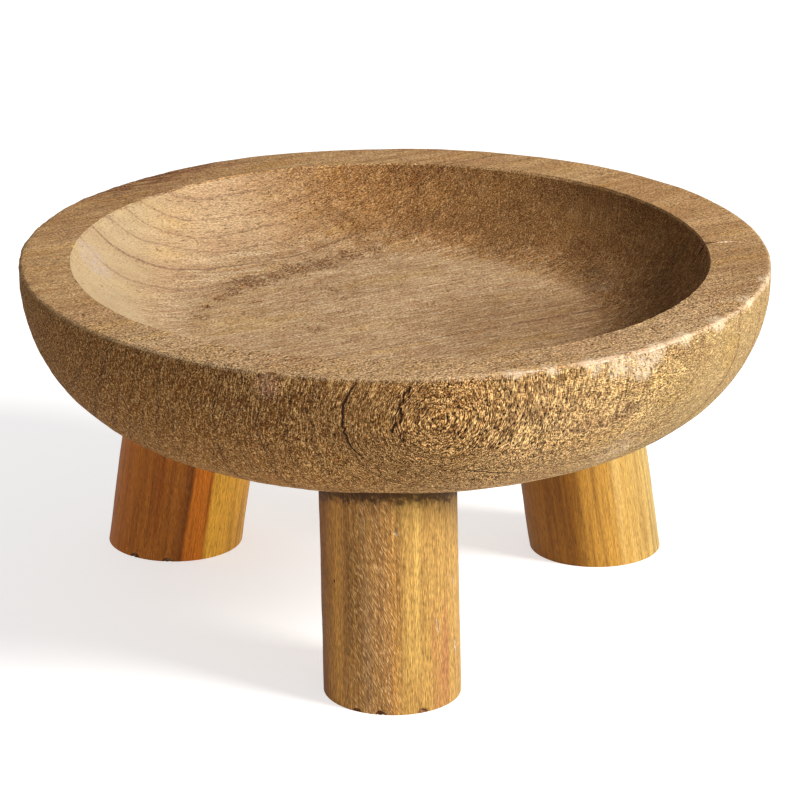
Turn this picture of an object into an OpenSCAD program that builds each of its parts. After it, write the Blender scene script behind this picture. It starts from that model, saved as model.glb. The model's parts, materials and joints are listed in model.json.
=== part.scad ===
// A low round bowl, cut from one block of wood, on three splayed round legs.
// Each leg's top stands in a shallow round seat bored into the bowl's underside,
// and a fluted dowel pin, hidden inside the joint, is glued into both.
// Millimetres, +Z up. The origin is on the surface that the feet stand on,
// straight below the middle of the rim. -Y is the front.

/* [Bowl] */
// Diameter across the outside of the rim
rim_d = 300; // [280:2:330]
// Height of the bowl itself, from its flat underside to the top of the rim
bowl_h = 64; // [60:0.5:70]
// Height of the upright band below the rim's top
band_h = 5; // [3:0.5:8]
// Rounding of the rim's outer edge
rim_edge_r = 1.5; // [0.5:0.5:2.5]

/* [Hollow] */
// Diameter of the hollow where it opens in the rim
hollow_d = 255.5; // [240:0.5:262]
// Depth of the flat floor below the top of the rim
hollow_depth = 27; // [22:0.5:28]
// Radius of the round that runs from the floor up to the rim
hollow_round_r = 56; // [40:1:64]
// Distance of the hollow's centre from the rim's centre, along X
hollow_x = -2; // [-4:0.5:4]
// Distance of the hollow's centre from the rim's centre, along Y
hollow_y = -1; // [-4:0.5:4]

/* [Legs] */
// Free height between the ground and the bowl's underside
under_h = 79.5; // [60:0.5:100]
// Diameter of each leg
leg_d = 54; // [48:0.5:58]
// Mean distance of the feet's centres from the middle
foot_reach = 103; // [96:1:106]
// Lean of each leg, inwards at its top, in degrees
leg_lean = 9.5; // [6:0.5:11]
// Eased edge around the sole of each foot
foot_ease = 1.2; // [0.5:0.1:3]

/* [Joints] */
// Depth of each leg's seat in the underside, at the leg's middle
seat_depth = 8; // [7:0.5:9]
// Gap between a leg and its seat, on the radius
seat_gap = 0.15; // [0.1:0.05:0.3]
// Diameter of the dowel pins
dowel_d = 12; // [8:1:14]
// Length of the dowel pins
dowel_l = 48; // [40:1:50]
// Length of each pin that is in the bowl
dowel_in_bowl = 20; // [14:1:22]
// Flutes around each pin, which let the glue out
flutes = 16; // [8:1:20]

/* [Hidden] */

$fn = 128;

// The legs were set by eye, so each differs a little from the others.
// Order: front, right, left.
FRONT = 0;
RIGHT = 1;
LEFT = 2;
BEARING = [-90.6, 30, 149.1];
REACH_OFF = [1, -6, 5];
LEAN_OFF = [0, 0.2, -0.1];
SIDE_LEAN = [1.4, 0, 0];
WIDTH_OFF = [-0.4, 0.2, 1.6];

rim_r = rim_d / 2;
rim_h = under_h + bowl_h;
wall_r = bowl_h - band_h;         // round of the outside, from the flat underside to the band
base_r = rim_r - wall_r;          // flat part of the underside
hollow_r = hollow_d / 2;
hollow_rise = hollow_round_r - hollow_depth;
floor_r = hollow_r - sqrt(hollow_round_r * hollow_round_r - hollow_rise * hollow_rise);

glue_gap = 0.05;                  // between a pin and its bores, on the radius
bore_spare = 1;                   // room for glue past each end of a pin
dowel_chamfer = 1.2;
flute_r = 0.45;
cut = 20;                         // how far cutting tools run past what they cut
bowl_tone = [0.62, 0.46, 0.29];
leg_tone = [0.74, 0.52, 0.26];
dowel_tone = [0.80, 0.66, 0.45];

function leg_r(k) = (leg_d + WIDTH_OFF[k]) / 2;
function lean(k) = leg_lean + LEAN_OFF[k];
function leg_l(k) = (under_h + seat_depth) / cos(lean(k));

// The outside's half profile: flat underside, quarter round and upright band
module outer_profile() {
    difference() {
        union() {
            square([base_r, bowl_h]);
            intersection() {
                translate([base_r, wall_r]) circle(wall_r);
                translate([base_r, 0]) square([wall_r, wall_r]);
            }
            translate([base_r, wall_r]) square([wall_r, band_h]);
        }
        translate([rim_r - rim_edge_r, bowl_h - rim_edge_r]) rim_edge_waste();
    }
}

// What is taken off a sharp corner to round it
module rim_edge_waste() {
    difference() {
        square([2 * rim_edge_r, 2 * rim_edge_r]);
        circle(rim_edge_r);
    }
}

// The hollow's half profile: flat floor and a round that is tangent to it
module hollow_profile() {
    square([floor_r, hollow_depth + cut]);
    intersection() {
        translate([floor_r, hollow_round_r]) circle(hollow_round_r);
        translate([floor_r, 0]) square([hollow_round_r, hollow_depth]);
    }
    translate([floor_r, hollow_depth]) square([hollow_r - floor_r, cut]);
}

// Puts its children in a leg's own frame: +Z up the leg, origin in the middle of its sole
module at_leg(k) {
    rotate([0, 0, BEARING[k]])
        translate([foot_reach + REACH_OFF[k], 0, 0])
            rotate([SIDE_LEAN[k], -lean(k), 0])
                children();
}

// Bores for a pin, through the joint between bowl and leg
module dowel_bore(k) {
    bottom = leg_l(k) - (dowel_l - dowel_in_bowl) - bore_spare;
    at_leg(k)
        translate([0, 0, bottom])
            cylinder(h = dowel_l + 2 * bore_spare, r = dowel_d / 2 + glue_gap);
}

// The round seat that a leg's top stands in
module seat(k) {
    at_leg(k)
        translate([0, 0, leg_l(k) - cut])
            cylinder(h = cut, r = leg_r(k) + seat_gap);
}

module bowl() {
    color(bowl_tone)
        difference() {
            translate([0, 0, under_h]) rotate_extrude() outer_profile();
            translate([hollow_x, hollow_y, rim_h - hollow_depth])
                rotate_extrude() hollow_profile();
            for (k = [FRONT, RIGHT, LEFT]) {
                seat(k);
                dowel_bore(k);
            }
        }
}

// A round leg, its sole cut level with the ground and its edge eased by a cone
module leg(k) {
    cone_h = leg_l(k) + cut;
    sole_r = leg_r(k) - foot_ease;
    color(leg_tone)
        difference() {
            intersection() {
                at_leg(k) translate([0, 0, -cut]) cylinder(h = leg_l(k) + cut, r = leg_r(k));
                rotate([0, 0, BEARING[k]])
                    translate([foot_reach + REACH_OFF[k], 0, 0])
                        cylinder(h = cone_h, r1 = sole_r, r2 = sole_r + cone_h);
            }
            dowel_bore(k);
        }
}

// A hardwood pin with chamfered ends and straight flutes
module dowel(k) {
    r = dowel_d / 2;
    color(dowel_tone)
        at_leg(k)
            translate([0, 0, leg_l(k) - (dowel_l - dowel_in_bowl)])
                difference() {
                    union() {
                        cylinder(h = dowel_chamfer, r1 = r - dowel_chamfer, r2 = r);
                        translate([0, 0, dowel_chamfer])
                            cylinder(h = dowel_l - 2 * dowel_chamfer, r = r);
                        translate([0, 0, dowel_l - dowel_chamfer])
                            cylinder(h = dowel_chamfer, r1 = r, r2 = r - dowel_chamfer);
                    }
                    for (i = [0 : flutes - 1])
                        rotate([0, 0, i * 360 / flutes])
                            translate([r, 0, -1])
                                cylinder(h = dowel_l + 2, r = flute_r);
                }
}

bowl();
leg(FRONT);  // leg_front
leg(RIGHT);  // leg_right
leg(LEFT);  // leg_left
dowel(FRONT);  // dowel_front
dowel(RIGHT);  // dowel_right
dowel(LEFT);  // dowel_left
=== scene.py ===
# %% [markdown]
# # A low wooden bowl on three round legs
#
# The real object is seven pieces of wood: a bowl cut from one block, three legs of a smoother, more
# golden wood, and a fluted dowel pin hidden in each joint. This lesson models the bowl and the legs as
# new meshes, cuts into them the marks that drying and tools have left, and paints the woods with
# nodes. The dowels can't be seen, so they keep their CAD meshes and only get a wood. All sizes and
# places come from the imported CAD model, which is loaded first and never changed.

# %% Open the frame
import json
import math

import bmesh
import bpy
import numpy as np
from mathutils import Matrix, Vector


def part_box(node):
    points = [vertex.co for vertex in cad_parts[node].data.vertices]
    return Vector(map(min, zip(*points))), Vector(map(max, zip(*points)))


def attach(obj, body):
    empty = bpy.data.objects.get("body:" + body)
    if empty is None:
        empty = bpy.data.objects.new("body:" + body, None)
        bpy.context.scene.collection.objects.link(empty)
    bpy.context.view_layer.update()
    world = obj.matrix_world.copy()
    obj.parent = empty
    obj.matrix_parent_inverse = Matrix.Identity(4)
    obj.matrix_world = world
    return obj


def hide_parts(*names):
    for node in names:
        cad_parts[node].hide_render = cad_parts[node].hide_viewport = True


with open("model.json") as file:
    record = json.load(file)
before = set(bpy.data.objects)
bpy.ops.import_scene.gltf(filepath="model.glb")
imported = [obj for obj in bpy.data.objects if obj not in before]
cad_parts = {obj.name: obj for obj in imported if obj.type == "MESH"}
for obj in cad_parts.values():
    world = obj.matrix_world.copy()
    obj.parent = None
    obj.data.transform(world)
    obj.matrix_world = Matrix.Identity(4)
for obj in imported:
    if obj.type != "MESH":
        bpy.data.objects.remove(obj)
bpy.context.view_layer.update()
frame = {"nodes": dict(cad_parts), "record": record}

MM = 0.001
mounts = {m["name"]: Vector(m["pos_m"]) for m in frame["record"]["mounts"]}
print("CAD nodes:", sorted(frame["nodes"]))

# %% [markdown]
# ## Measuring the CAD pieces
#
# Every size below is read from the CAD meshes, so that the bowl, its hollow and the legs land where
# the design has them. A piece's points come as an array, and a little arithmetic on them gives radii
# and heights.

# %% Sizes of the bowl and its hollow
def cad_points(node):
    """A CAD piece's points, as rows of x, y and z in metres."""
    return np.array([v.co for v in frame["nodes"][node].data.vertices])


bowl_points = cad_points("bowl")
bowl_low, bowl_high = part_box("bowl")
RIM_R = float(np.hypot(bowl_points[:, 0], bowl_points[:, 1]).max())
RIM_Z = bowl_high.z
UNDER_Z = bowl_low.z
FLOOR = mounts["hollow_floor"]
on_rim = bowl_points[bowl_points[:, 2] > RIM_Z - 0.01 * MM]
HOLLOW_R = float(np.hypot(on_rim[:, 0] - FLOOR.x, on_rim[:, 1] - FLOOR.y).min())
on_under = bowl_points[bowl_points[:, 2] < UNDER_Z + 0.01 * MM]
BASE_R = float(np.hypot(on_under[:, 0], on_under[:, 1]).max())
on_floor = bowl_points[abs(bowl_points[:, 2] - FLOOR.z) < 0.01 * MM]
FLOOR_R = float(np.hypot(on_floor[:, 0] - FLOOR.x, on_floor[:, 1] - FLOOR.y).max())
WALL_R = RIM_R - BASE_R
HOLLOW_DEPTH = RIM_Z - FLOOR.z
HOLLOW_RUN = HOLLOW_R - FLOOR_R
HOLLOW_ROUND = (HOLLOW_RUN ** 2 + HOLLOW_DEPTH ** 2) / (2 * HOLLOW_DEPTH)
print("rim radius %.4f  hollow radius %.4f  floor radius %.4f  wall round %.4f  hollow round %.4f"
      % (RIM_R, HOLLOW_R, FLOOR_R, WALL_R, HOLLOW_ROUND))

# %% Axis, length and radius of each leg
SIDES = ("front", "right", "left")


def leg_facts(side):
    """The leg's axis runs from the middle of its foot through the middle of its dowel."""
    foot = mounts["foot_" + side]
    pin_low, pin_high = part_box("dowel_" + side)
    axis = ((pin_low + pin_high) / 2 - foot).normalized()
    reach = cad_points("leg_" + side) - np.array(foot)
    along = reach @ np.array(axis)
    out = np.linalg.norm(reach - along[:, None] * np.array(axis), axis=1)
    pin = (cad_points("dowel_" + side) - np.array(foot)) @ np.array(axis)
    return {"foot": foot, "axis": axis, "length": float(along.max()), "radius": float(out.max()),
            "pin_low": float(pin.min()), "pin_high": float(pin.max())}


legs = {side: leg_facts(side) for side in SIDES}
for side in SIDES:
    print(side, "leg: radius %.4f, length %.4f" % (legs[side]["radius"], legs[side]["length"]))

# %% [markdown]
# ## Camera, floor and light
#
# The camera comes first, because everything after it is judged through it. It stands well back with a
# long lens, a little under twenty degrees above the table, which is how small wares are usually shown.
# One big soft light stands on the right and does most of the work: it brightens the left wall of the
# hollow and the right side of the bowl, and leaves the wall nearest to it in shade. The floor glows a
# little, like a light table, so that it stays almost white and the shadow on it is faint.

# %% Camera
CAMERA_HEIGHT = math.radians(19.59)
CAMERA_DISTANCE = 1.8
LENS = 203.4
SENSOR_WIDTH = 36
aim = Vector((-0.0005, 0, 0.0846))
back = Vector((0, -math.cos(CAMERA_HEIGHT), math.sin(CAMERA_HEIGHT)))
bpy.ops.object.camera_add(location=aim + back * CAMERA_DISTANCE)
camera = bpy.context.object
camera.rotation_euler = (-back).to_track_quat("-Z", "Y").to_euler()
camera.data.lens = LENS
camera.data.sensor_width = SENSOR_WIDTH
camera.data.clip_start = 0.05
bpy.context.scene.camera = camera

# %% Floor
FLOOR_SIZE = 12
FLOOR_GREY = 0.55
FLOOR_GLOW = 0.64
bpy.ops.mesh.primitive_plane_add(size=FLOOR_SIZE, location=(0, 0, 0))
floor = bpy.context.object
floor.name = "floor"


def plain_floor():
    made = bpy.data.materials.new("floor_white")
    made.use_nodes = True
    shader = made.node_tree.nodes["Principled BSDF"]
    shader.inputs["Base Color"].default_value = (FLOOR_GREY, FLOOR_GREY, FLOOR_GREY, 1)
    shader.inputs["Roughness"].default_value = 0.9
    shader.inputs["Emission Color"].default_value = (1, 1, 1, 1)
    shader.inputs["Emission Strength"].default_value = FLOOR_GLOW
    return made


floor.data.materials.append(plain_floor())

# %% Lights
def soft_light(name, place, size, power, tint):
    bpy.ops.object.light_add(type="AREA", location=place)
    made = bpy.context.object
    made.name = name
    made.data.shape = "DISK"
    made.data.size = size
    made.data.energy = power
    made.data.color = tint
    made.rotation_euler = (aim - Vector(place)).to_track_quat("-Z", "Y").to_euler()
    print(name, "is", round((aim - Vector(place)).length, 2), "m away")


WARM_WHITE = (1.0, 0.98, 0.95)
ROOM_LIGHT = 0.38
soft_light("key_light", (1.95, -0.79, 1.45), 0.9, 104, WARM_WHITE)
world = bpy.data.worlds.new("studio")
world.use_nodes = True
world.node_tree.nodes["Background"].inputs["Color"].default_value = (1, 1, 1, 1)
world.node_tree.nodes["Background"].inputs["Strength"].default_value = ROOM_LIGHT
bpy.context.scene.world = world
bpy.context.scene.view_settings.view_transform = "Standard"

# %% [markdown]
# ## Small helpers for modelling
#
# An operator works on whatever is selected, and a fresh file has the CAD nodes selected. So these
# helpers empty the selection, step in and out of edit mode, and pick points, edges or faces by a test
# on their place, which is what a person does with the mouse.

# %% Selecting in code
def only(piece):
    """Selects just this piece and makes it the active one."""
    bpy.ops.object.select_all(action="DESELECT")
    piece.select_set(True)
    bpy.context.view_layer.objects.active = piece


def pick(piece, kind, test):
    """In edit mode, selects just the verts, edges or faces that pass the test."""
    mesh = bmesh.from_edit_mesh(piece.data)
    bpy.ops.mesh.select_all(action="DESELECT")
    bpy.context.tool_settings.mesh_select_mode = (kind == "verts", kind == "edges", kind == "faces")
    found = [part for part in getattr(mesh, kind) if test(part)]
    for part in found:
        part.select = True
    mesh.select_flush_mode()
    bmesh.update_edit_mesh(piece.data)
    return len(found)


def apply_all(piece):
    """Applies the piece's modifiers from first to last."""
    only(piece)
    for modifier in list(piece.modifiers):
        bpy.ops.object.modifier_apply(modifier=modifier.name)


only(floor)

# %% [markdown]
# ## The bowl's block, turned from a half profile
#
# A bowl like this is roughed out on a lathe or with a gouge, so it is nearly round. The half profile
# starts as one point under the middle. Extruding the point draws the straight stretches and spinning it
# about a centre draws the rounds, then one full spin about the upright axis makes the solid. Drawing
# it this way sets the spacing of the rings of faces, which is close where detail will be carved.

# %% Draw the half profile
bpy.ops.mesh.primitive_plane_add(size=0.01, location=(0, 0, 0))
bowl = bpy.context.object
bowl.name = "carved_bowl"
bpy.ops.object.mode_set(mode="EDIT")
bpy.ops.mesh.select_all(action="SELECT")
bpy.ops.mesh.merge(type="CENTER")
bpy.ops.transform.translate(value=(0, 0, UNDER_Z))


def draw_line(dx, dz, steps):
    """Extrudes the selected point along a straight line."""
    for _ in range(steps):
        bpy.ops.mesh.extrude_vertices_move(
            TRANSFORM_OT_translate={"value": (dx / steps, 0, dz / steps)})


def draw_round(x, z, angle, steps):
    """Spins the selected point about a centre in the profile's plane."""
    bpy.ops.mesh.spin(steps=steps, angle=angle, center=(x, 0, z), axis=(0, 1, 0))


SEAT_STEP = 9 * MM
STEP = 1.75 * MM
RIM_EASE = 1.3 * MM
WALL_TOP = UNDER_Z + WALL_R
floor_slope = math.acos(1 - HOLLOW_DEPTH / HOLLOW_ROUND)

draw_line(BASE_R, 0, round(BASE_R / SEAT_STEP))
draw_round(BASE_R, WALL_TOP, math.radians(90), round(WALL_R * math.radians(90) / STEP))
draw_line(0, RIM_Z - RIM_EASE - WALL_TOP, 3)
draw_round(RIM_R - RIM_EASE, RIM_Z - RIM_EASE, math.radians(90), 3)
draw_line(HOLLOW_R - (RIM_R - RIM_EASE), 0, round((RIM_R - HOLLOW_R) / STEP))
draw_round(FLOOR_R, FLOOR.z + HOLLOW_ROUND, -floor_slope, round(HOLLOW_ROUND * floor_slope / STEP))
draw_line(-FLOOR_R, 0, round(FLOOR_R / (1.8 * STEP)))
profile = bmesh.from_edit_mesh(bowl.data)
print("the profile has", len(profile.verts), "points")
last = [v for v in profile.verts if v.select][0].co
print("it ends at %.5f %.5f, and the floor is at %.5f" % (last.x, last.z, FLOOR.z))

# %% Spin it round
AROUND = 480
bpy.ops.mesh.select_all(action="SELECT")
bpy.ops.mesh.spin(steps=AROUND, angle=math.tau, center=(0, 0, 0), axis=(0, 0, 1))
bpy.ops.mesh.select_all(action="SELECT")
bpy.ops.mesh.remove_doubles(threshold=0.01 * MM)
bpy.ops.mesh.normals_make_consistent(inside=False)
bpy.ops.object.mode_set(mode="OBJECT")
print("turned bowl:", len(bowl.data.polygons), "faces")

# %% Set the hollow a little off the middle
EDGE = 0.05 * MM


def in_hollow(v):
    """True for the points of the hollow's floor and wall, up to its edge on the rim."""
    reach = math.hypot(v.co.x, v.co.y)
    return v.co.z > FLOOR.z - EDGE and reach < HOLLOW_R + EDGE


only(bowl)
bpy.ops.object.mode_set(mode="EDIT")
print(pick(bowl, "verts", in_hollow), "points are in the hollow")
bpy.ops.transform.translate(value=(FLOOR.x, FLOOR.y, 0), use_proportional_edit=True,
                            use_proportional_connected=True, proportional_edit_falloff="SMOOTH",
                            proportional_size=0.9 * (RIM_R - HOLLOW_R))
bpy.ops.object.mode_set(mode="OBJECT")

# %% [markdown]
# ## What a hand tool leaves
#
# Nothing on the real bowl is perfectly round: the wood moved as it dried, and the gouge left slow
# waves. A Displace modifier moves each point along its normal by a soft cloud pattern, which is how
# such waves are made without sculpting. Where the tool cut against the fibre, the wood tore and the
# surface is rougher, so that displacement works through a vertex group. A point's weight there says how
# far the surface faces against the fibre.

# %% The way of the fibre
def heading(across, up):
    """The direction at an azimuth and an elevation in degrees."""
    a = math.radians(across)
    b = math.radians(up)
    return Vector((math.cos(a) * math.cos(b), math.sin(a) * math.cos(b), math.sin(b)))


FIBRE = heading(31, -6)
SIDEWAYS = Vector((0, 0, 1)).cross(FIBRE).normalized()
UPWARDS = FIBRE.cross(SIDEWAYS)
print("fibre", tuple(round(c, 3) for c in FIBRE))

# %% Weights and waves
def weigh(piece, name, weight_of):
    """Makes a vertex group whose weights come from a rule on place and normal."""
    group = piece.vertex_groups.new(name=name)
    levels = {}
    for v in piece.data.vertices:
        level = round(10 * max(0.0, min(1.0, weight_of(v.co, v.normal))))
        levels.setdefault(level, []).append(v.index)
    for level, points in levels.items():
        group.add(points, level / 10, "REPLACE")


def waves(piece, name, size, depth, group="", middle=0.5):
    """Adds a Displace modifier: a soft cloud pattern pushes the points along their normals."""
    clouds = bpy.data.textures.new(name, "CLOUDS")
    clouds.noise_scale = size
    clouds.noise_depth = 2
    modifier = piece.modifiers.new(name, "DISPLACE")
    modifier.texture = clouds
    modifier.texture_coords = "LOCAL"
    modifier.strength = depth
    modifier.mid_level = middle
    modifier.vertex_group = group


def ramp_up(value, low, high):
    """0 below low, 1 above high, and a smooth step between."""
    t = max(0.0, min(1.0, (value - low) / (high - low)))
    return t * t * (3 - 2 * t)


def against_fibre(place, normal):
    """1 where the surface faces well against the fibre, and 0 where it faces along it."""
    return ramp_up(-normal.dot(FIBRE), 0.0, 0.35)


weigh(bowl, "torn", against_fibre)
waves(bowl, "slow_waves", 70 * MM, 1.1 * MM)
waves(bowl, "gouge_waves", 12 * MM, 0.35 * MM)
waves(bowl, "torn_waves", 4 * MM, 0.7 * MM, "torn")
apply_all(bowl)
print("bowl box", [tuple(round(c, 4) for c in corner) for corner in bowl.bound_box][::6])

# %% [markdown]
# ## Writing a wood as a formula
#
# A material is a graph of nodes, and a graph is hard to read as code. The small class below wraps one
# output socket, so that ordinary arithmetic on it adds the Math nodes. Every other node comes from one
# method, which sets the node's own settings first and then its sockets.

# %% A value that can be reckoned with
class Value:
    """An output socket that takes part in arithmetic. Each sum or product adds a Math node."""

    def __init__(self, bench, socket):
        self.bench = bench
        self.socket = socket

    def math(self, operation, *others):
        sockets = dict(enumerate([self, *others]))
        return self.bench.node("ShaderNodeMath", {"operation": operation}, sockets)

    def __add__(self, other):
        return self.math("ADD", other)

    def __sub__(self, other):
        return self.math("SUBTRACT", other)

    def __mul__(self, other):
        return self.math("MULTIPLY", other)

    def __truediv__(self, other):
        return self.math("DIVIDE", other)

    def __pow__(self, other):
        return self.math("POWER", other)

    def __neg__(self):
        return self.math("MULTIPLY", -1.0)

    def __rsub__(self, other):
        return (-self).math("ADD", other)

    def __rtruediv__(self, other):
        return self.bench.node("ShaderNodeMath", {"operation": "DIVIDE"}, {0: other, 1: self})

    __radd__ = __add__
    __rmul__ = __mul__

    def rise(self, low, high):
        """0 below low, 1 above high, and a smooth step between."""
        return self.bench.node("ShaderNodeMapRange", {"interpolation_type": "SMOOTHSTEP"},
                               {"Value": self, "From Min": low, "From Max": high})

    def fall(self, low, high):
        """1 below low, 0 above high, and a smooth step between."""
        return 1 - self.rise(low, high)


# %% The bench where a material is made
class Bench:
    """One material's node tree. Places on it are in millimetres."""

    def __init__(self, name):
        self.material = bpy.data.materials.new(name)
        self.material.use_nodes = True
        self.tree = self.material.node_tree
        self.shader = self.tree.nodes["Principled BSDF"]
        places = self.node("ShaderNodeTexCoord", {}, {}, take="Object")
        self.mm = self.vector("SCALE", places, Scale=1 / MM)

    def node(self, kind, settings, sockets, take=0):
        """Adds any node: its own settings first, then the values or links of its sockets."""
        made = self.tree.nodes.new(kind)
        for name, setting in settings.items():
            if name == "stops":
                self.set_stops(made.color_ramp.elements, setting)
            else:
                setattr(made, name, setting)
        for name, given in sockets.items():
            if isinstance(given, Value):
                self.tree.links.new(given.socket, made.inputs[name])
            elif given is not None:
                made.inputs[name].default_value = given
        return Value(self, made.outputs[take])

    def set_stops(self, elements, stops):
        while len(elements) < len(stops):
            elements.new(0.5)
        for element, (place, colour) in zip(elements, sorted(stops)):
            element.position = place
            element.color = colour

    def vector(self, operation, a, b=None, take=0, **named):
        sockets = {0: a, 1: b, **named}
        return self.node("ShaderNodeVectorMath", {"operation": operation}, sockets, take)

    def dot(self, a, b):
        return self.vector("DOT_PRODUCT", a, tuple(b), take="Value")

    def join(self, x, y, z):
        return self.node("ShaderNodeCombineXYZ", {}, {0: x, 1: y, 2: z})

    def toward(self, azimuth):
        """How far a place lies toward an azimuth, in mm."""
        return self.dot(self.mm, heading(azimuth, 0))

    def stretch(self, *times):
        """The place with its x, y and z each multiplied by a number."""
        return self.vector("MULTIPLY", self.mm, times)

    def noise(self, place, detail=2.0, rough=0.5):
        """Soft random values round 0.5. Its grains are about as big as one unit of place."""
        sockets = {"Vector": place, "Scale": 1.0, "Detail": detail, "Roughness": rough}
        return self.node("ShaderNodeTexNoise", {}, sockets)

    def mix(self, amount, a, b, how="MIX"):
        settings = {"data_type": "RGBA", "blend_type": how}
        return self.node("ShaderNodeMix", settings, {0: amount, 6: a, 7: b}, take=2)

    def grain(self, x, y, z, **look):
        """Noise at a place made from three numbers, each stretched as the wood needs it."""
        return self.noise(self.join(x, y, z), **look)

    def tint(self, amount, colour, *light):
        """Multiplies a colour by red, green and blue, as far as amount says."""
        return self.mix(amount, colour, (*light, 1), "MULTIPLY")

    def near(self, place, reach):
        """1 at a place in mm, fading to 0 at a distance of reach."""
        away = self.vector("DISTANCE", self.mm, place, take="Value")
        return away.fall(0, reach)

    def finish(self, **sockets):
        """Joins what was worked out to the shader and gives back the material."""
        for name, given in sockets.items():
            name = name.replace("_", " ")
            if isinstance(given, Value):
                self.tree.links.new(given.socket, self.shader.inputs[name])
            else:
                self.shader.inputs[name].default_value = given
        print(self.material.name, "has", len(self.tree.nodes), "nodes")
        return self.material


def tone(red, green, blue):
    """A colour given as it looks on a screen, 0 to 255, made linear."""
    linear = [((c / 255 + 0.055) / 1.055) ** 2.4 if c > 10 else c / 255 / 12.92
              for c in (red, green, blue)]
    return (*linear, 1.0)


# %% [markdown]
# ## Checks, nicks and tear-outs
#
# A check is a split that opens as wood dries, and a tear-out is a bundle of fibres that came away. Each
# is cut into the mesh with a Boolean, by a thin rod that is thick in its middle and runs out to nothing
# at its ends. A curve with a bevel draws such a rod: the radius of each of its points says how thick it
# is there. Real cuts hold shadow in any light, which painted ones don't.

# %% A rod to cut with
def cut(piece, cutter):
    """Takes the cutter's shape out of the piece. The new walls keep the cutter's material."""
    only(piece)
    modifier = piece.modifiers.new("cut", "BOOLEAN")
    modifier.object = cutter
    modifier.operation = "DIFFERENCE"
    modifier.solver = "MANIFOLD"
    modifier.material_mode = "TRANSFER"
    bpy.ops.object.modifier_apply(modifier=modifier.name)
    bpy.data.objects.remove(cutter, do_unlink=True)


def rod(points, thick, material):
    """A rod through the points, thickest in the middle, as a mesh of that material."""
    bpy.ops.object.select_all(action="DESELECT")
    drawn = bpy.data.curves.new("rod", "CURVE")
    drawn.dimensions = "3D"
    drawn.bevel_depth = thick
    drawn.bevel_resolution = 1
    drawn.use_fill_caps = True
    drawn.materials.append(material)
    line = drawn.splines.new("POLY")
    line.points.add(len(points) - 1)
    for i, (point, place) in enumerate(zip(line.points, points)):
        point.co = (*place, 1)
        point.radius = 0.12 + 0.88 * math.sin(math.pi * i / (len(points) - 1)) ** 0.6
    made = bpy.data.objects.new("rod", drawn)
    bpy.context.collection.objects.link(made)
    only(made)
    bpy.ops.object.convert(target="MESH")
    made = bpy.context.object
    bpy.ops.object.mode_set(mode="EDIT")
    bpy.ops.mesh.select_all(action="SELECT")
    bpy.ops.mesh.remove_doubles(threshold=0.001 * MM)
    bpy.ops.mesh.normals_make_consistent(inside=False)
    bpy.ops.object.mode_set(mode="OBJECT")
    return made


def along_path(corners, steps):
    """Points on a smooth line that passes through every corner."""
    ends = [2 * corners[0] - corners[1], *corners, 2 * corners[-1] - corners[-2]]
    places = []
    for a, b, c, d in zip(ends, ends[1:], ends[2:], ends[3:]):
        for t in (i / steps for i in range(steps)):
            bend = (2 * a - 5 * b + 4 * c - d) * t * t + (3 * b - 3 * c + d - a) * t ** 3
            places.append(b + ((c - a) * t + bend) / 2)
    return places + [corners[-1]]


# %% Finding the surface
def outside_at(azimuth, height):
    """The point on the bowl's outside at an azimuth in degrees and a height in mm."""
    way = heading(azimuth, 0)
    start = way * (2 * RIM_R) + Vector((0, 0, height * MM))
    found, place, normal, face = bowl.ray_cast(start, -way)
    return place


def from_above(x, y):
    """The point on the bowl's upper side over x and y in mm."""
    found, place, normal, face = bowl.ray_cast(Vector((x * MM, y * MM, 0.5)), Vector((0, 0, -1)))
    return place


# %% Wood for the walls of a cut
def cut_wood(name, deep, pale):
    """Broken fibres: the pale colour where they stand up, the deep one between them."""
    bench = Bench(name)
    fibres = bench.noise(bench.stretch(1.6, 1.6, 0.7), detail=3, rough=0.7)
    colour = bench.mix(fibres.rise(0.42, 0.66), deep, pale)
    return bench.finish(Base_Color=colour, Roughness=0.8 + 0.1 * fibres, Specular_IOR_Level=0.1)


split_wood = cut_wood("split_wood", tone(50, 30, 18), tone(84, 54, 34))
torn_wood = cut_wood("torn_wood", tone(96, 60, 34), tone(150, 108, 70))
scraped_wood = cut_wood("scraped_wood", tone(176, 148, 118), tone(226, 206, 180))

# %% Checks down the outside of the wall
CHECKS = {
    "long": (0.55, [(-95.3, 143.2), (-96.2, 138.6), (-97.3, 132.6), (-97.6, 126.3), (-97.3, 121),
                    (-96.4, 114.3), (-94.3, 107.6)]),
    "thin": (0.26, [(-88.0, 140.5), (-89.3, 133), (-90.0, 127), (-89.2, 119), (-87.8, 112)]),
    "low": (0.30, [(-81.5, 104), (-78, 101), (-74, 98.6), (-70, 97)]),
}
rng = np.random.default_rng(4)
for name, (width, marks) in CHECKS.items():
    line = along_path([Vector((azimuth, height, 0)) for azimuth, height in marks], 4)
    jagged = [outside_at(p.x + rng.normal(0, 0.10), p.y) for p in line]
    cut(bowl, rod(jagged, width * MM, split_wood))
    print(name, "check cut,", len(bowl.data.polygons), "faces")

# %% A band of short torn pits beside the thin check
for height in np.arange(139, 116, -2.1):
    azimuth = -88.2 - 1.6 * math.sin(math.radians(7 * (139 - height))) + rng.normal(0, 0.35)
    tall = rng.uniform(1.0, 1.9)
    ends = [outside_at(azimuth, height + tall), outside_at(azimuth - 0.2, height - tall)]
    cut(bowl, rod(along_path(ends, 4), rng.uniform(0.4, 0.75) * MM, split_wood))
print("bowl after its pits:", len(bowl.data.polygons), "faces")

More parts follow.
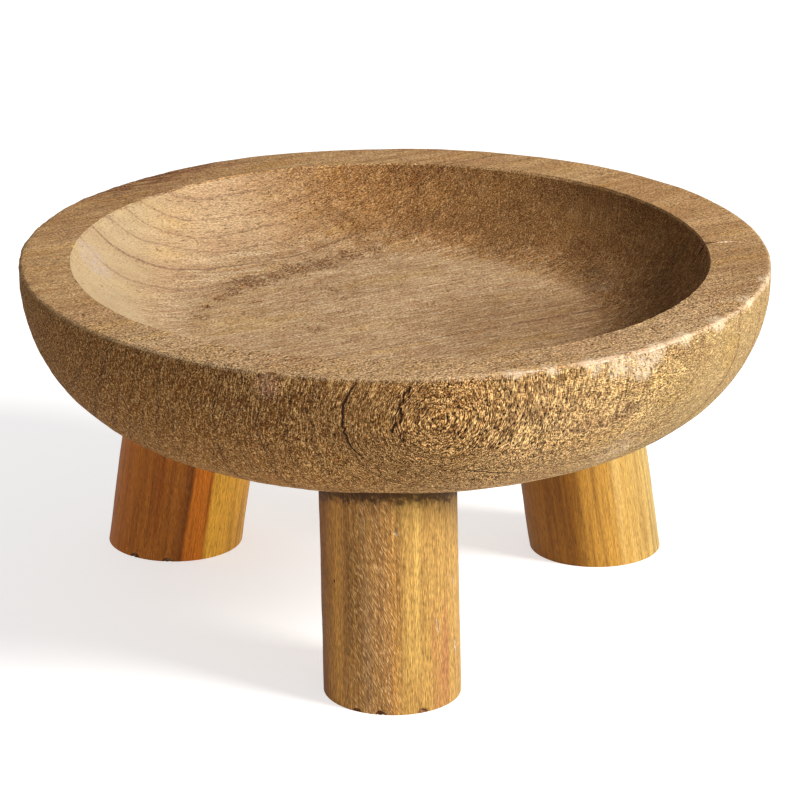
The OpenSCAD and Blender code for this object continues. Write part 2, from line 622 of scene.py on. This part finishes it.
# %% Nicks in the rim and tear-outs in the floor
NICKS = [
    (0.9, [(122.0, 12.6), (125.6, 14.2), (129.5, 15.3)]),
    (0.30, [(-141.0, 4.0), (-128.0, 12.0)]),
    (0.28, [(-137.0, -14.0), (-126.0, -7.5)]),
]
TEARS = [
    (0.8, [(-77, 12), (-76, 17)]), (0.7, [(-73, 25), (-70, 30)]), (0.8, [(-65, 38), (-60, 45)]),
    (0.7, [(-53, 53), (-48, 57)]), (0.6, [(-41, 62), (-36, 66)]), (0.6, [(-31, 71), (-27, 76)]),
    (0.7, [(-60, 18), (-53, 22)]), (0.5, [(-20, 30), (-14, 33)]), (0.5, [(12, 41), (18, 45)]),
    (0.5, [(30, -20), (37, -16)]), (0.45, [(-30, -38), (-22, -33)]), (0.5, [(52, 20), (57, 23)]),
]
for places, wood in ((NICKS, split_wood), (TEARS, torn_wood)):
    for width, marks in places:
        line = along_path([from_above(x, y) for x, y in marks], 4)
        cut(bowl, rod(line, width * MM, wood))

# %% Places where the rim's edge is knocked off
SHAVES = [
    (1.3, [(-150.9, 2.5, 143.2), (-150.8, 6, 142.9), (-150.4, 10, 143.4)]),
    (1.2, [(24, 148.9, 144.0), (33, 147.2, 143.9), (41, 145.2, 144.1)]),
    (1.0, [(47, 143.2, 144.0), (56, 140, 143.9), (62, 137.4, 144.1)]),
    (1.5, [(-52, -141.6, 144.2), (-46, -143.7, 143.7), (-41, -145.3, 144.2)]),
    (1.2, [(74, -131.3, 144.1), (84, -125.2, 143.8), (92, -119.4, 144.1)]),
    (0.9, [(98, -114.4, 144.0), (107, -106.1, 143.8), (114, -98.6, 144.1)]),
    (1.0, [(128, -79.3, 144.1), (135, -66.4, 143.9), (140, -55.2, 144.2)]),
]
SCRAPES = [
    (0.60, [(129.5, 15.2, 143.5), (134, 16.2, 143.5), (139, 17.2, 143.6)]),
    (0.60, [(41, -144.3, 143.1), (48, -142.1, 143.2), (55, -139.6, 143.1)]),
    (0.75, [(70, -132.8, 142.8), (77, -128.9, 142.6), (83, -125.1, 142.7)]),
    (0.80, [(90, -120.2, 142.6), (97, -114.6, 142.4), (103, -109.3, 142.7)]),
]
for places, wood in ((SCRAPES, scraped_wood), (SHAVES, torn_wood)):
    for width, marks in places:
        line = along_path([Vector(mark) * MM for mark in marks], 5)
        cut(bowl, rod(line, width * MM, wood))

# %% The shadow gap over the front leg
def from_below(x, y):
    """The point on the bowl's underside over x and y in mm."""
    found, place, normal, face = bowl.ray_cast(Vector((x * MM, y * MM, 0)), Vector((0, 0, 1)))
    return place


front = legs["front"]
reach = front["foot"] + front["axis"] * (front["length"] - 4 * MM)
gap_line = []
for turn in range(-118, -76, 6):
    edge = reach + heading(turn, 0) * (front["radius"] + 0.4 * MM)
    gap_line.append(from_below(edge.x / MM, edge.y / MM))
cut(bowl, rod(along_path(gap_line, 2), 0.8 * MM, split_wood))
print("bowl after its nicks:", len(bowl.data.polygons), "faces")

# %% [markdown]
# ## Seats for the legs
#
# Each leg stands in a shallow round seat in the underside, and a dowel pin goes on up into the bowl
# and down into the leg. The seats and bores are cylinders on the leg's own axis, a hair wider than what
# goes into them, and a Boolean takes them out of the wood.

# %% Cut the seats and the bores
GAP = 0.15 * MM
GLUE = 0.05 * MM
SMOOTH_UP_TO = math.radians(35)


def peg(side, low, high, radius, turns=96):
    """A cylinder on a leg's axis between two distances from its foot."""
    axis = legs[side]["axis"]
    middle = legs[side]["foot"] + axis * (low + high) / 2
    bpy.ops.object.select_all(action="DESELECT")
    bpy.ops.mesh.primitive_cylinder_add(
        vertices=turns, radius=radius, depth=high - low, location=middle,
        rotation=axis.to_track_quat("Z", "Y").to_euler())
    made = bpy.context.object
    bpy.ops.object.transform_apply(location=True, rotation=True, scale=True)
    return made


PIN_R = {}
for side in SIDES:
    fact = legs[side]
    pin = cad_points("dowel_" + side) - np.array(fact["foot"])
    along = pin @ np.array(fact["axis"])
    off = pin - along[:, None] * np.array(fact["axis"])
    PIN_R[side] = float(np.linalg.norm(off, axis=1).max())
    cut(bowl, peg(side, 0, fact["length"] + GLUE, fact["radius"] + GAP))
    cut(bowl, peg(side, fact["length"] - 2 * MM, fact["pin_high"] + MM, PIN_R[side] + GLUE, 48))
    print(side, "seat cut, pin radius %.4f" % PIN_R[side])

only(bowl)
bpy.ops.object.shade_smooth_by_angle(angle=SMOOTH_UP_TO)
print("bowl:", len(bowl.data.polygons), "faces")

# %% [markdown]
# ## Legs, turned and sawn
#
# The legs are lengths of round stock, sawn level at the foot and slanted outwards. Each starts as a
# cylinder on its own axis that runs on below the floor. A bisect with a fill saws it off level with the
# floor. Bisect leaves a point that is within a tenth of a millimetre of its plane where it was, so
# points under the floor are raised to it. The waves fade out towards the foot and the bowl's seat.

# %% Make one leg
STUB = 12 * MM
LEG_TURNS = 128
RINGS_ALONG = 40


def make_leg(side):
    """A cylinder on the leg's axis, sawn at the floor, given slow waves and bored for its dowel."""
    fact = legs[side]
    made = peg(side, -STUB, fact["length"], fact["radius"] - 0.05 * MM, LEG_TURNS)
    made.name = "round_leg_" + side
    made.data.name = made.name
    axis = fact["axis"]
    bpy.ops.object.mode_set(mode="EDIT")
    pick(made, "edges", lambda e: abs((e.verts[1].co - e.verts[0].co).normalized().dot(axis)) > 0.99)
    bpy.ops.mesh.subdivide(number_cuts=RINGS_ALONG)
    bpy.ops.mesh.select_all(action="SELECT")
    bpy.ops.mesh.bisect(plane_co=(0, 0, 0), plane_no=(0, 0, 1), use_fill=True, clear_inner=True)
    bpy.ops.mesh.select_all(action="SELECT")
    bpy.ops.mesh.normals_make_consistent(inside=False)
    bpy.ops.object.mode_set(mode="OBJECT")

    def shown(place, normal):
        up = (place - fact["foot"]).dot(axis)
        return ramp_up(place.z, 0.0, 4 * MM) * ramp_up(fact["length"] - 9 * MM - up, 0.0, 3 * MM)

    weigh(made, "shown", shown)
    waves(made, side + "_slow", 30 * MM, 0.5 * MM, "shown", 0.55)
    waves(made, side + "_fine", 5 * MM, 0.16 * MM, "shown")
    apply_all(made)
    for v in made.data.vertices:
        v.co.z = max(v.co.z, 0.0)
    cut(made, peg(side, fact["pin_low"] - MM, fact["length"] + 5 * MM, PIN_R[side] + GLUE, 48))
    only(made)
    bpy.ops.object.shade_smooth_by_angle(angle=SMOOTH_UP_TO)
    return made


made_legs = {side: make_leg(side) for side in SIDES}
for side, leg in made_legs.items():
    print(leg.name, len(leg.data.polygons), "faces")

# %% [markdown]
# ## Knocks on the legs
#
# A foot chips where the bowl is dragged or set down hard, and the front leg has small bruises up its
# side. They are cut like the marks on the bowl. A ray shot at the leg's axis finds its surface, so a
# mark is given by its leg, the way round from the leg's middle in degrees, and the height in mm.

# %% Chips at the feet and nicks up the front leg
def side_of(side, turn, height):
    """The point on a leg's side at an azimuth about its foot and a height in mm."""
    way = heading(turn, 0)
    lean = legs[side]["axis"]
    middle = legs[side]["foot"] + lean * (height * MM / lean.z)
    found, place, normal, face = made_legs[side].ray_cast(middle + way * 60 * MM, -way)
    return place


LEG_CUTS = [
    ("front", 1.0, torn_wood, [(-104, 0.3), (-100, 0.9), (-95, 0.3)]),
    ("front", 0.9, torn_wood, [(-69, 0.3), (-65, 0.9), (-60, 0.3)]),
    ("front", 0.7, torn_wood, [(-124, 0.3), (-120, 0.8), (-116, 0.3)]),
    ("left", 1.1, torn_wood, [(-130, 0.3), (-125, 1.0), (-121, 0.3)]),
    ("left", 1.0, torn_wood, [(-99, 0.3), (-95, 0.9), (-90, 0.3)]),
    ("front", 0.55, scraped_wood, [(-49, 35), (-48, 32), (-47, 29)]),
    ("front", 0.45, scraped_wood, [(-25, 49), (-24, 46), (-23, 43)]),
    ("front", 0.45, scraped_wood, [(-25, 24), (-24, 21), (-22, 17)]),
    ("front", 0.50, scraped_wood, [(-86, 71), (-84, 70), (-82, 69)]),
    ("front", 0.45, split_wood, [(-142.5, 48.6), (-142, 48), (-141.5, 47.4)]),
]
for side, width, wood, marks in LEG_CUTS:
    line = along_path([side_of(side, turn, height) for turn, height in marks], 4)
    cut(made_legs[side], rod(line, width * MM, wood))
for leg in made_legs.values():
    print(leg.name, "has", len(leg.data.materials), "woods")

# %% [markdown]
# ## The bowl's wood
#
# The bowl is open, coarse wood with wide growth rings. All of its pattern is solid: it is worked out in
# three dimensions, as if the bowl were cut from a log. The log's middle line runs along the fibre, a
# little way above the rim, so the distance from that line counts the rings. The same rings then show
# as straight lines on the rim, as hanging arcs on the wall of the hollow, and as ovals on the outside,
# and they meet at every edge without being told to.

# %% The log's own directions, and marks with places of their own
# All in mm. The pith is the log's middle line. The bulge is a swelling in the rings that makes the
# ovals on the front. The chain and the scuffs are places, each with how far it spreads.
PITH_ASIDE = 30.0
PITH_UP = 146.0
BULGE = (8.0, -148.0, 125.0)
CHAIN = [((-79, 1, 117), 7), ((-77, 14, 117), 5), ((-72, 25, 117), 6), ((-66, 35, 117), 10),
         ((-59, 46, 117), 14), ((-49, 54, 117), 12), ((-41, 63, 117), 15), ((-30, 70, 117), 13),
         ((-20, 80, 117), 11), ((-9, 86, 118), 8)]
TEAR_PATCHES = [(-58, 9, 116.5), (-26, 35, 116.5), (-19, 22, 116.5), (-33, -14, 116.5)]
SCUFFS = [((45, -143, 144), 6), ((58, -138, 144), 7), ((74, -130, 142), 8), ((84, -124, 139), 10),
          ((93, -117, 137), 11), ((98, -113, 141), 9), ((110, -102, 144), 9), ((124, -84, 144), 9),
          ((136, -58, 144), 8), ((146, -32, 144), 8)]


def log_places(bench):
    """Along the fibre, aside and up from the pith, distance from it and the way round it, in mm."""
    along = bench.dot(bench.mm, FIBRE)
    aside = bench.dot(bench.mm, SIDEWAYS) - PITH_ASIDE
    up = bench.dot(bench.mm, UPWARDS) - PITH_UP
    wander = bench.grain(along / 30, aside / 13, up / 13, detail=2) - 0.5
    aside = aside + 3.2 * wander
    up = up - 2.0 * wander
    sway = bench.grain(along / 90, aside / 30, up / 30, detail=1) - 0.5
    radius = (aside * aside + up * up) ** 0.5 + 5 * sway
    radius = radius + 22 * bench.near(BULGE, 46)
    around = aside.math("ARCTAN2", -up) * 110
    return along, aside, up, radius, around


def ring_count(radius):
    """Counts the rings out from the pith. Some years grew more slowly than others."""
    return 0.09 * radius + 2.2 * radius.rise(70, 104) + 0.05 * (radius - 104).math("MAXIMUM", 0)


# %% Make the bowl's wood
def bowl_wood():
    bench = Bench("bowl_wood")
    along, aside, up, radius, around = log_places(bench)
    rings = ring_count(radius)
    facing = bench.node("ShaderNodeNewGeometry", {}, {}, take="Normal")
    meets = bench.dot(facing, FIBRE)
    upright = bench.dot(facing, (0, 0, 1))
    height_mm = bench.dot(bench.mm, (0, 0, 1))

    # where the surface is: outside, in the hollow, or against the fibre
    outside = upright.fall(0.05, 0.3)
    hollow = height_mm.fall(RIM_Z / MM - 1.1, RIM_Z / MM - 0.6) * (1 - outside)
    on_top = (1 - hollow) * (1 - outside)
    torn = (-meets).rise(0.02, 0.38)
    smooth = meets.rise(0.0, 0.35)
    coarse = bench.near((22, -130, 106), 108)
    frayed = torn.math("MAXIMUM", outside * (-meets).rise(-0.55, 0.1))

    # fibres: long, thin streaks along the grain, at three sizes, and the grit between them
    fine = bench.grain(along / 13, aside / 0.5, up / 0.5, detail=3, rough=0.62)
    broad = bench.grain(along / 80, aside / 4, up / 4, detail=3, rough=0.6)
    cloudy = bench.grain(along / 70, aside / 28, up / 28, detail=2)
    pores = bench.grain(along / 7, aside / 0.4, up / 0.4, detail=1).rise(0.62, 0.74)
    grit = bench.grain(along / 1.1, aside / 0.42, up / 0.42, detail=1, rough=0.6)
    end_grit = bench.grain(radius / 0.3, around / 1.2, along / 0.45, detail=1)
    grit = grit + frayed * coarse * (end_grit - grit)
    fleck = bench.grain(along / 4.5, aside / 1.1, up / 1.1, detail=2).rise(0.62, 0.72)

    # each ring: a thin dark line of dots, stronger in some years
    from_line = (rings - rings.math("ROUND")).math("ABSOLUTE")
    year = bench.node("ShaderNodeTexWhiteNoise", {"noise_dimensions": "1D"},
                      {"W": rings.math("ROUND")})
    dots = bench.grain(along / 2.4, radius / 0.5, around / 1.6, detail=2).rise(0.38, 0.6)
    strength = (0.15 + 0.85 * year) * radius.rise(30, 50)
    line = from_line.fall(0.01, 0.075) * strength * (0.25 + 0.75 * dots)
    late = from_line.fall(0.05, 0.5) * strength

    # torn grain: dark pits and raised tufts, drawn out round the rings
    strokes = bench.grain(radius / 0.36, around / 1.7, along / 0.5, detail=2, rough=0.65)
    crumbs = bench.grain(radius / 0.6, around / 0.5, along / 0.5, detail=2, rough=0.7)
    strokes = strokes + outside * height_mm.fall(84, 102) * (crumbs - strokes)
    ridges = bench.grain(radius / 0.45, around / 5.5, along / 1.6, detail=1)
    tufts = 0.62 * strokes + 0.38 * ridges
    pits = tufts.fall(0.41, 0.49)
    crests = tufts.rise(0.51, 0.59)

    # the wood's own colours: paler where it was cut cleanly, darker where it tore
    colour = bench.mix(broad.rise(0.3, 0.7), tone(160, 123, 82), tone(188, 153, 109))
    colour = bench.mix(0.45 * cloudy.rise(0.35, 0.7), colour, tone(152, 112, 70))
    colour = bench.mix(0.5 * (1 - 0.6 * smooth) * fine.rise(0.45, 0.75), colour, tone(122, 86, 54))
    colour = bench.mix(0.7 * smooth * (1 - outside), colour, tone(169, 152, 121))
    colour = bench.mix(0.8 * smooth * outside, colour, tone(144, 118, 80))
    colour = bench.mix(0.5 * hollow * (1 - smooth) * (1 - torn), colour, tone(186, 162, 130))
    colour = bench.mix(0.16 * late, colour, tone(140, 98, 62))
    colour = bench.mix(0.8 * line, colour, tone(104, 74, 62))
    colour = bench.mix(0.45 * pores, colour, tone(96, 64, 42))
    colour = bench.mix(0.4 * fleck * (1 - smooth), colour, tone(112, 74, 46))
    colour = bench.tint(torn * outside, colour, 0.62, 0.47, 0.30)
    colour = bench.tint(torn * hollow, colour, 0.70, 0.57, 0.44)
    colour = bench.tint(outside * (-meets).rise(0.3, 0.9), colour, 0.60, 0.50, 0.35)
    colour = bench.tint(hollow * (-meets).rise(0.3, 0.6), colour, 0.76, 0.72, 0.66)

    # painted shade and light: the outside is darker and browner on the left, which faces away from the
    # lamp, and a little more golden on the right, which faces it; it is also made lighter over the front
    painted_shade_left = outside * bench.toward(-160).rise(30, 130)
    colour = bench.tint(painted_shade_left, colour, 0.98, 0.92, 0.64)
    colour = bench.vector("SCALE", colour, Scale=1 + 0.20 * outside * coarse)
    painted_light_right = outside * bench.toward(-50).rise(60, 150)
    colour = bench.tint(painted_light_right, colour, 0.98, 1.05, 0.99)

    # slow changes of hue: golden, olive and purple-brown patches, and pale streaks in the floor
    hue = bench.grain(along / 46, aside / 11, up / 11, detail=2)
    streaks = bench.grain(along / 20, aside / 1.5, up / 1.5, detail=3, rough=0.65)
    calm = 1 - 0.7 * smooth * hollow
    flat = hollow * upright.rise(0.88, 0.98)
    colour = bench.tint(0.5 * calm * hue.fall(0.3, 0.48), colour, 0.86, 0.76, 0.74)
    colour = bench.tint(0.5 * calm * hue.rise(0.52, 0.7), colour, 1.1, 1.04, 0.74)
    colour = bench.mix(0.45 * flat * streaks.rise(0.52, 0.64), colour, tone(208, 184, 150))
    colour = bench.mix(0.45 * flat * streaks.fall(0.36, 0.47), colour, tone(134, 94, 62))
    sweep = bench.grain(along / 16, aside / 0.9, up / 0.9, detail=3, rough=0.65)
    colour = bench.mix(0.35 * outside * streaks.fall(0.32, 0.46), colour, tone(112, 76, 48))
    colour = bench.mix(0.5 * outside * sweep.fall(0.36, 0.48), colour, tone(108, 74, 44))
    colour = bench.mix(0.5 * outside * sweep.rise(0.52, 0.64), colour, tone(210, 174, 116))

    # marks with places of their own
    patchy = bench.noise(bench.stretch(1 / 4, 1 / 4, 1 / 4), detail=3, rough=0.7)
    chain = bench.near(*CHAIN[0])
    for place, reach in CHAIN[1:]:
        chain = chain.math("MAXIMUM", bench.near(place, reach))
    chain = (chain + 2.8 * (patchy - 0.5)).rise(0.32, 0.80)
    for place in TEAR_PATCHES:
        chain = chain.math("MAXIMUM", bench.near(place, 9) * patchy.rise(0.42, 0.6))
    knot = bench.near((81, 50, 119), 9)
    stain = bench.near((84, 35, 118), 10)
    # painted shadow: the next two masks darken the right of the hollow, its wall and floor, as the shade
    # there from the lamp on the right
    shade = bench.near((84, 0, 118), 78) * hollow
    painted_floor_shade = bench.near((60, -15, 116.5), 75).rise(0.0, 0.6) * hollow
    tan = bench.near((136, -14, 143), 62) * on_top
    plum = bench.near((-108, 92, 143), 56) * on_top * streaks.rise(0.4, 0.6)
    bruise = bench.near((-47.5, -143, 138), 8)
    scrape = bench.near((-123, 17, 135), 15).rise(0.1, 0.5)
    brushed = bench.noise(bench.join(bench.dot(bench.mm, heading(-35, 30)) / 0.9,
                                     bench.dot(bench.mm, heading(55, 42)) / 9, height_mm / 22), detail=2)
    clouds = bench.noise(bench.stretch(0.055, 0.055, 0.03), detail=2)
    slanted = bench.noise(bench.stretch(0.2, 0.6, 0.5), detail=2)
    tufted = bench.grain(along / 1.8, aside / 0.9, up / 0.9, detail=2).rise(0.42, 0.6)
    # the painted shadow in the right of the hollow
    colour = bench.tint(0.6 * shade, colour, 0.62, 0.54, 0.46)
    colour = bench.tint(0.9 * painted_floor_shade, colour, 0.80, 0.76, 0.72)
    colour = bench.tint(0.6 * tan, colour, 0.68, 0.64, 0.60)
    colour = bench.tint(0.9 * plum, colour, 0.62, 0.52, 0.55)
    specks = bench.noise(bench.stretch(1.1, 1.1, 1.1), detail=2, rough=0.7)
    colour = bench.mix(0.25 * chain, colour, tone(156, 106, 66))
    colour = bench.mix(0.8 * chain * specks.fall(0.44, 0.54), colour, tone(92, 52, 26))
    colour = bench.mix(0.6 * chain * specks.rise(0.54, 0.62), colour, tone(218, 184, 136))
    colour = bench.mix(knot * (0.4 + 0.5 * tufted), colour, tone(56, 34, 20))
    colour = bench.mix(0.35 * stain, colour, tone(112, 100, 88))
    colour = bench.mix(0.3 * torn * hollow * brushed.rise(0.54, 0.66), colour, tone(176, 140, 100))
    colour = bench.mix(0.4 * torn * hollow * clouds.fall(0.38, 0.54), colour, tone(90, 56, 30))
    colour = bench.mix(0.7 * scrape * slanted.rise(0.35, 0.6), colour, tone(168, 150, 136))
    colour = bench.mix(bruise * (0.6 + 0.4 * fine), colour, tone(172, 126, 98))
    russet = bench.near((-39, -130, 143.5), 24) * on_top
    colour = bench.tint(0.8 * russet * streaks.rise(0.4, 0.58), colour, 0.86, 0.70, 0.60)

    # the outer edge of the rim: a pale burr in front, pale scuffs to the right, and along the
    # front-right edge pale wear that is also a painted highlight where the rounded edge faces the lamp
    rim_reach = bench.vector("LENGTH", bench.stretch(1, 1, 0), take="Value")
    off_side = rim_reach - RIM_R / MM
    off_top = height_mm - RIM_Z / MM
    from_edge = (off_side * off_side + off_top * off_top) ** 0.5
    scuffs = bench.noise(bench.stretch(0.22, 0.22, 0.22), detail=3, rough=0.7)
    front_right = bench.toward(-40).rise(95, 140)
    front = bench.toward(-98).rise(125, 146)
    front_half = bench.toward(-80).rise(20, 110)
    broken = bench.noise(bench.join(bench.dot(bench.mm, (1, 0.5, 0.6)) / 1.4,
                                    bench.dot(bench.mm, (-0.7, 0.3, 1)) / 3.4, 0), detail=3, rough=0.7)
    rubbed = 0.5 * bench.near((84, -105, 97), 26)
    for place, spread in SCUFFS:
        rubbed = rubbed.math("MAXIMUM", bench.near(place, spread))
    rubbed = rubbed.rise(0.0, 0.9) * (rubbed + 1.6 * (scuffs - 0.5)).rise(0.1, 0.6)
    rubbed = rubbed * broken.rise(0.37, 0.56)
    edge_wear_and_highlight = from_edge.fall(0.6, 3.0) * scuffs.rise(0.48, 0.62) * front_right
    burr = from_edge.fall(0.9, 2.4) * (0.3 + 0.7 * tufted) * front

    # torn pits and tufts, coloured dark and pale as torn fibres and also as painted shade in the pits
    # and painted highlights on the crests, most on the sunny side toward the lamp; then the grit over
    # everything
    sunny = bench.toward(-66).rise(70, 135) * (1 - bench.near((128, -78, 120), 60))
    fray_depth = frayed * (0.35 + 0.65 * coarse.math("MAXIMUM", 0.62 * sunny))
    colour = bench.mix(0.92 * fray_depth * pits, colour, tone(64, 38, 19))
    colour = bench.mix(0.9 * fray_depth * crests, colour, tone(220, 177, 118))
    wide_line = from_line.fall(0.02, 0.17) * strength * dots
    colour = bench.mix(0.5 * outside * wide_line, colour, tone(72, 46, 30))
    bite = 1.2 + 3.2 * fray_depth + 2.2 * outside * (0.4 + sunny) + hollow * (0.8 + 0.8 * flat)
    bite = bite * (1 - 0.65 * smooth * (1 - outside))
    bite = bite + on_top * (1.6 + 3.6 * front_half) * (1 - from_edge.fall(0, 1.5))
    colour = bench.vector("SCALE", colour, Scale=1 + bite * (grit - 0.5))
    edge_streak = bench.near((-98, 106, 143), 62).rise(0.0, 0.5) * from_edge.fall(3, 13) * on_top
    colour = bench.tint(edge_streak * streaks.rise(0.36, 0.54), colour, 0.66, 0.56, 0.56)
    colour = bench.mix(0.5 * on_top * front_half * fine.fall(0.4, 0.5), colour, tone(208, 178, 140))
    specked = on_top * front_half * grit.rise(0.56, 0.68)
    colour = bench.mix(0.45 * specked, colour, tone(228, 202, 162))
    # pale edge wear and painted highlight on the front-right edge
    colour = bench.mix(0.6 * edge_wear_and_highlight, colour, tone(206, 178, 150))
    colour = bench.mix(0.55 * burr * grit.rise(0.4, 0.6), colour, tone(216, 184, 142))
    colour = bench.mix(0.66 * rubbed, colour, tone(220, 198, 168))

    # relief in mm, from the same patterns as the colour
    height = 0.12 * fine + fray_depth * (1.3 * tufts) - 0.15 * pores - 0.18 * line
    height = height - 0.3 * fleck * (1 - smooth) + 0.15 * bite * grit - 0.6 * chain * tufted
    relief = bench.node("ShaderNodeBump", {}, {"Strength": 1.0, "Distance": MM, "Height": height})
    rough = 0.72 + 0.1 * fine + 0.12 * torn
    return bench.finish(Base_Color=colour, Roughness=rough, Normal=relief, Specular_IOR_Level=0.07)


# %% [markdown]
# ## The legs' wood
#
# The legs are smoother, straight-grained and golden, and each shows broad bands from one side to the
# other. They are partly the wood, where sapwood meets heartwood, and partly painted light and shade:
# lighter on the right, which faces the lamp, and darker on the left. A colour ramp across the leg gives
# the bands, and long thin noise along its axis gives the fibres. The front leg has darker and paler
# streaks and was rasped.

# %% Make the legs' wood
def leg_wood(side, wood_and_light_bands, dark, bite):
    """Bands are colours across the leg, by distance from its axis in mm: wood tone with painted light
    and shade.
    """
    bench = Bench("leg_wood_" + side)
    fact = legs[side]
    axis = fact["axis"]
    across_way = Vector((0, 1, 0)).cross(axis).normalized()
    deep_way = axis.cross(across_way)
    start = tuple(c / MM for c in fact["foot"])
    place = bench.vector("SUBTRACT", bench.mm, start)
    up = bench.dot(place, axis)
    across = bench.dot(place, across_way)
    deep = bench.dot(place, deep_way)
    sway = bench.grain(up / 60, across / 14, deep / 14, detail=1) - 0.5
    fine = bench.grain(up / 22, across / 0.5, deep / 0.5, detail=3, rough=0.6)
    broad = bench.grain(up / 90, across / 3, deep / 3, detail=3, rough=0.55)
    pores = bench.grain(up / 4, across / 0.35, deep / 0.35, detail=1).rise(0.62, 0.74)
    width = 2 * fact["radius"] / MM
    stops = [(0.5 + shift / width, colour) for shift, colour in wood_and_light_bands]
    spread = 0.5 + (across + 6 * sway + 1.2 * (broad - 0.5)) / width
    colour = bench.node("ShaderNodeValToRGB", {"stops": stops}, {0: spread}, take="Color")
    colour = bench.mix(0.5 * broad.rise(0.45, 0.7), colour, dark)
    colour = bench.mix(0.45 * fine.rise(0.45, 0.75), colour, dark)
    colour = bench.mix(0.5 * pores, colour, dark)
    for shift, low, high, stain in LEG_STAINS[side]:
        streak = (across + 5 * sway - shift).math("ABSOLUTE").fall(0.8, 4.2)
        streak = streak * up.rise(low - 6, low + 6) * up.fall(high - 12, high + 6)
        colour = bench.mix(streak * broad.rise(0.3, 0.75), colour, stain)
    grit = bench.grain(up / 2.6, across / 0.42, deep / 0.42, detail=1, rough=0.6)
    scratch = bench.noise(bench.join((0.91 * up - 0.42 * across) / 2.6,
                                     (0.91 * across + 0.42 * up) / 0.42, deep / 1.5), detail=2)
    rasped = (across + 5 * sway + 6).math("ABSOLUTE").fall(5, 14) * LEG_RASP[side]
    colour = bench.mix(0.6 * rasped * scratch.fall(0.36, 0.46), colour, tone(116, 78, 42))
    colour = bench.mix(0.6 * rasped * scratch.rise(0.54, 0.64), colour, tone(214, 174, 116))
    colour = bench.vector("SCALE", colour, Scale=1 + bite * (grit - 0.5))

    # painted shadow: the leg is darkened where it meets the bowl's rounded wall, as the contact shadow
    # there
    reach = bench.vector("LENGTH", bench.stretch(1, 1, 0), take="Value")
    level = bench.dot(bench.mm, (0, 0, 1)) - (UNDER_Z + WALL_R) / MM
    aside = (reach - BASE_R / MM).math("MAXIMUM", 0)
    from_bowl = (aside * aside + level * level) ** 0.5 - WALL_R / MM
    ragged = bench.noise(bench.stretch(0.5, 0.5, 0.5), detail=2)
    painted_contact_shadow = (from_bowl - 9 * (ragged - 0.5)).fall(1.0, 5.5)
    colour = bench.mix(0.85 * painted_contact_shadow, colour, tone(52, 30, 16))
    height = 0.06 * fine - 0.1 * pores + 0.4 * rasped * scratch + 0.06 * bite * grit
    relief = bench.node("ShaderNodeBump", {}, {"Strength": 0.8, "Distance": MM, "Height": height})
    rough = 0.5 + 0.12 * fine
    return bench.finish(Base_Color=colour, Roughness=rough, Normal=relief, Specular_IOR_Level=0.1)


# %% Paint the bowl and the legs
DARK = tone(92, 52, 20)
# each streak: distance from the axis, lowest and highest point in mm, colour
LEG_STAINS = {
    "front": [(18.5, -20, 38, tone(150, 96, 62)), (-8, -20, 90, tone(158, 118, 76)),
              (-2, -20, 90, tone(154, 112, 68)), (9, 10, 90, tone(204, 164, 88))],
    "right": [(14, -20, 60, tone(196, 162, 96))],
    "left": [(-9, 10, 90, tone(140, 72, 22))],
}
LEG_GRIT = {"front": 1.9, "right": 1.0, "left": 1.0}
LEG_RASP = {"front": 1.0, "right": 0.0, "left": 0.15}
# each leg's bands: distance from the axis in mm, and colour. They are the wood's tone, and also painted
# light on the right side, which faces the lamp, and painted shade on the left
LEG_TONES_AND_PAINTED_LIGHT = {
    "front": [(-27, tone(118, 70, 20)), (-20, tone(178, 126, 58)), (-17, tone(164, 116, 58)),
              (2, tone(172, 124, 62)), (5, tone(168, 128, 66)), (27, tone(166, 130, 70))],
    "right": [(-27, tone(132, 84, 28)), (-7, tone(142, 92, 30)), (-3, tone(176, 126, 50)),
              (8, tone(178, 132, 57)), (27, tone(170, 144, 84))],
    "left": [(-27, tone(172, 98, 28)), (-3, tone(166, 98, 32)), (3.4, tone(128, 70, 22)),
             (4.6, tone(208, 118, 34)), (12, tone(216, 126, 36)), (13.2, tone(246, 184, 66)),
             (27, tone(246, 182, 72))],
}


def paint(piece, material):
    """Gives the piece its wood. Slots that a cutter brought in stay as they are."""
    if not piece.data.materials:
        piece.data.materials.append(material)
    piece.data.materials[0] = material
    names = [m.name if m else "none" for m in piece.data.materials]
    print(piece.name, "is made of", ", ".join(names))


paint(bowl, bowl_wood())
for side, leg in made_legs.items():
    paint(leg, leg_wood(side, LEG_TONES_AND_PAINTED_LIGHT[side], DARK, LEG_GRIT[side]))

# %% [markdown]
# ## The dowels' wood
#
# Dowel pins are bought ready-made, in a pale, even hardwood such as beech. The CAD meshes already have
# their flutes, so they stay, and only get this wood.

# %% Make the dowels' wood
def dowel_wood():
    bench = Bench("dowel_wood")
    streaks = bench.noise(bench.stretch(2.2, 2.2, 0.06), detail=3)
    colour = bench.mix(streaks.rise(0.3, 0.75), tone(226, 200, 156), tone(196, 160, 110))
    relief = bench.node("ShaderNodeBump", {}, {"Strength": 0.5, "Distance": MM,
                                               "Height": 0.06 * streaks})
    return bench.finish(Base_Color=colour, Roughness=0.6 + 0.1 * streaks, Normal=relief)


pin_wood = dowel_wood()
for side in SIDES:
    for place in frame["nodes"]["dowel_" + side].material_slots:
        place.material = pin_wood
    print("dowel_" + side, "has", len(frame["nodes"]["dowel_" + side].material_slots), "slot")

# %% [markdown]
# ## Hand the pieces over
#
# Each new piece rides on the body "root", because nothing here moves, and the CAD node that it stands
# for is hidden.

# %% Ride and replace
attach(bowl, "root")
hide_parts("bowl")
for side, leg in made_legs.items():
    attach(leg, "root")
    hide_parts("leg_" + side)
